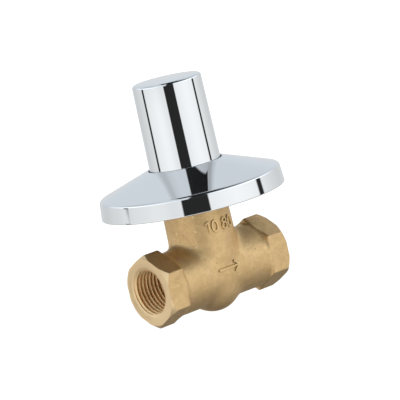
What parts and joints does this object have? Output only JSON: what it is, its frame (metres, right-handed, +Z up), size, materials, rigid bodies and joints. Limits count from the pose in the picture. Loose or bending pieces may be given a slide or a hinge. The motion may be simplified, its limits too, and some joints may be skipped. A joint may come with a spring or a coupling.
{
  "type": "concealed stop valve",
  "caption": "Brass globe stop valve for a pipe in the wall, with hexagon sockets, a screw-down headwork, a plain round cap over the key spindle and a sliding wall flange.",
  "frame": {"origin": "where the pipe axis crosses the spindle axis, midway between the two socket faces", "axes": "+X along the pipe from inlet to outlet, +Z up the spindle towards the cap, out of the wall"},
  "size_m": [0.0768, 0.0768, 0.0987],
  "materials": {
    "cast_brass": "sand cast, with machined end faces and sockets",
    "turned_brass": "turned and milled bright",
    "chrome": "mirror bright chrome plate",
    "rubber": "black moulded rubber",
    "fluoroplastic": "white fluoroplastic",
    "fibre": "dark red sealing fibre"
  },
  "bodies": {
    "valve": {"valve_body": "cast_brass", "bonnet_gasket": "fibre", "bonnet": "turned_brass", "thrust_washer_lower": "fluoroplastic", "thrust_washer_upper": "fluoroplastic", "gland_packing": "fluoroplastic", "gland_follower": "turned_brass", "gland_nut": "turned_brass", "gland_ring": "rubber", "cap_ring_lower": "rubber", "cap_ring_upper": "rubber"},
    "spindle": {"spindle": "turned_brass"},
    "carrier": {"disc_carrier": "turned_brass", "carrier_ring": "rubber", "seat_washer": "rubber", "washer_plate": "turned_brass", "washer_screw": "turned_brass"},
    "cap": {"cap": "chrome"},
    "flange": {"flange": "chrome", "flange_ring": "rubber"}
  },
  "joints": [
    {"name": "spindle_turn", "type": "hinge", "parent": "valve", "child": "spindle", "pos_m": [0, 0, 0], "axis": [0, 0, 1], "range_deg": [0, 1080]},
    {"name": "carrier_lift", "type": "slide", "parent": "valve", "child": "carrier", "axis": [0, 0, 1], "range_m": [0, 0.006]},
    {"name": "cap_pull", "type": "slide", "parent": "valve", "child": "cap", "axis": [0, 0, 1], "range_m": [0, 0.045]},
    {"name": "flange_slide", "type": "slide", "parent": "cap", "child": "flange", "axis": [0, 0, 1], "range_m": [-0.004, 0.026]}
  ],
  "couplings": [
    {"joint": "carrier_lift", "follows": "spindle_turn", "m_per_rad": 0.00031831}
  ]
}
